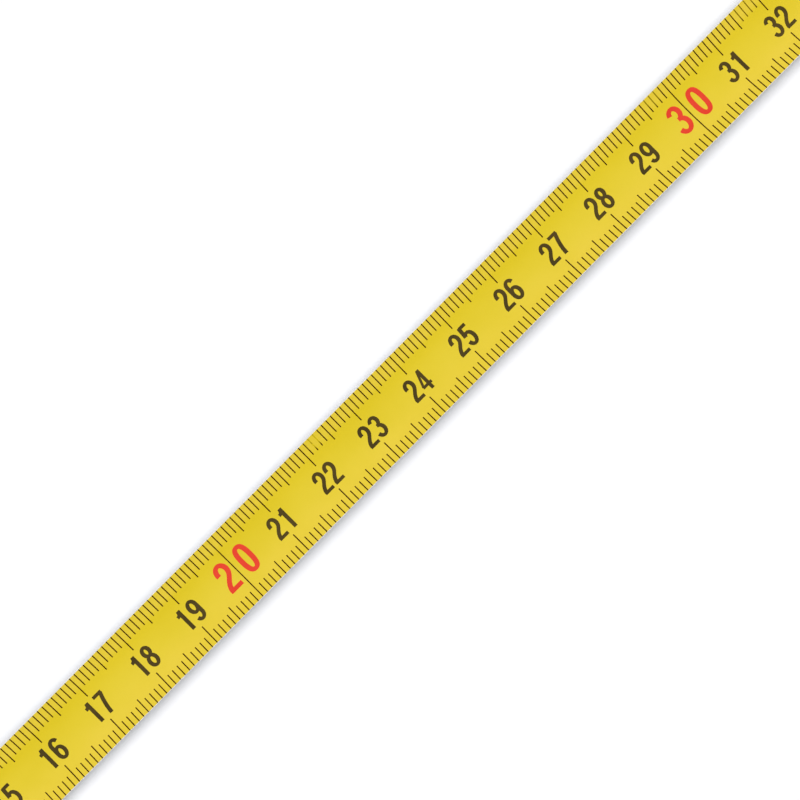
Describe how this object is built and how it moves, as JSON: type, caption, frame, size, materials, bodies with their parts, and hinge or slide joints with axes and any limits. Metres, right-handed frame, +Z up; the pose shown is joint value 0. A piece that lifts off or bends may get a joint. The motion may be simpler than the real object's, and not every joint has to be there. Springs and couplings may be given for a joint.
{
  "type": "tape measure",
  "caption": "Pocket tape measure with a curved yellow steel blade drawn out and locked, end hook, slide lock, rubber grips and belt clip.",
  "frame": {"origin": "centre of the case's flat bottom face", "axes": "+X from the end hook towards the case, +Y from the label to the belt clip, +Z up"},
  "size_m": [0.4128, 0.0278, 0.056],
  "materials": {
    "case_plastic": "satin moulded ABS",
    "grip_rubber": "fine matt soft overmould",
    "label_metal": "brushed disc, clear coated",
    "screw_steel": "dark zinc",
    "inner_plastic": "natural acetal",
    "lock_plastic": "fine spark-textured black",
    "bumper_rubber": "smooth black rubber",
    "spring_steel": "blued spring steel",
    "insert_brass": "turned",
    "clip_steel": "bright nickel plate",
    "blade_paint": "yellow lacquer with black and red print",
    "rivet_steel": "nickel-plated steel",
    "hook_metal": "nickel-plated steel"
  },
  "bodies": {
    "case": {"case_right": "case_plastic", "case_left": "case_plastic", "grip_right": "grip_rubber", "grip_left": "grip_rubber", "label_plate": "label_metal", "case_screws": "screw_steel", "axle_post": "inner_plastic", "spool_washers": "inner_plastic", "mouth_guide": "lock_plastic", "mouth_bumper": "bumper_rubber", "lock_detent": "spring_steel", "clip_insert": "insert_brass", "clip_screw": "screw_steel", "belt_clip_root": "clip_steel"},
    "blade": {"blade": "blade_paint", "hook_rivets": "rivet_steel"},
    "hook": {"end_hook": "hook_metal"},
    "spool": {"spool": "inner_plastic", "spool_cover": "inner_plastic", "power_spring": "spring_steel", "blade_coil": "blade_paint"},
    "lock": {"lock_slider": "lock_plastic", "lock_button": "lock_plastic", "brake_pad": "bumper_rubber"},
    "clip": {"belt_clip_arm": "clip_steel"}
  },
  "joints": [
    {"name": "blade_pull", "type": "slide", "parent": "case", "child": "blade", "axis": [-1, 0, 0], "range_m": [-0.015, 0.025]},
    {"name": "hook_float", "type": "slide", "parent": "blade", "child": "hook", "axis": [1, 0, 0], "range_m": [0, 0.0008]},
    {"name": "spool_turn", "type": "hinge", "parent": "case", "child": "spool", "pos_m": [0.0055, 0, 0.02968], "axis": [0, 1, 0], "range_deg": [-42, 70]},
    {"name": "lock_slide", "type": "slide", "parent": "case", "child": "lock", "axis": [0.342, 0, 0.9397], "range_m": [0, 0.006]},
    {"name": "clip_flex", "type": "hinge", "parent": "case", "child": "clip", "pos_m": [0.0055, 0.01305, 0.0365], "axis": [1, 0, 0], "range_deg": [0, 6], "stiffness_Nm_per_rad": 3}
  ],
  "couplings": [
    {"joint": "spool_turn", "follows": "blade_pull", "rad_per_m": 48.189}
  ]
}
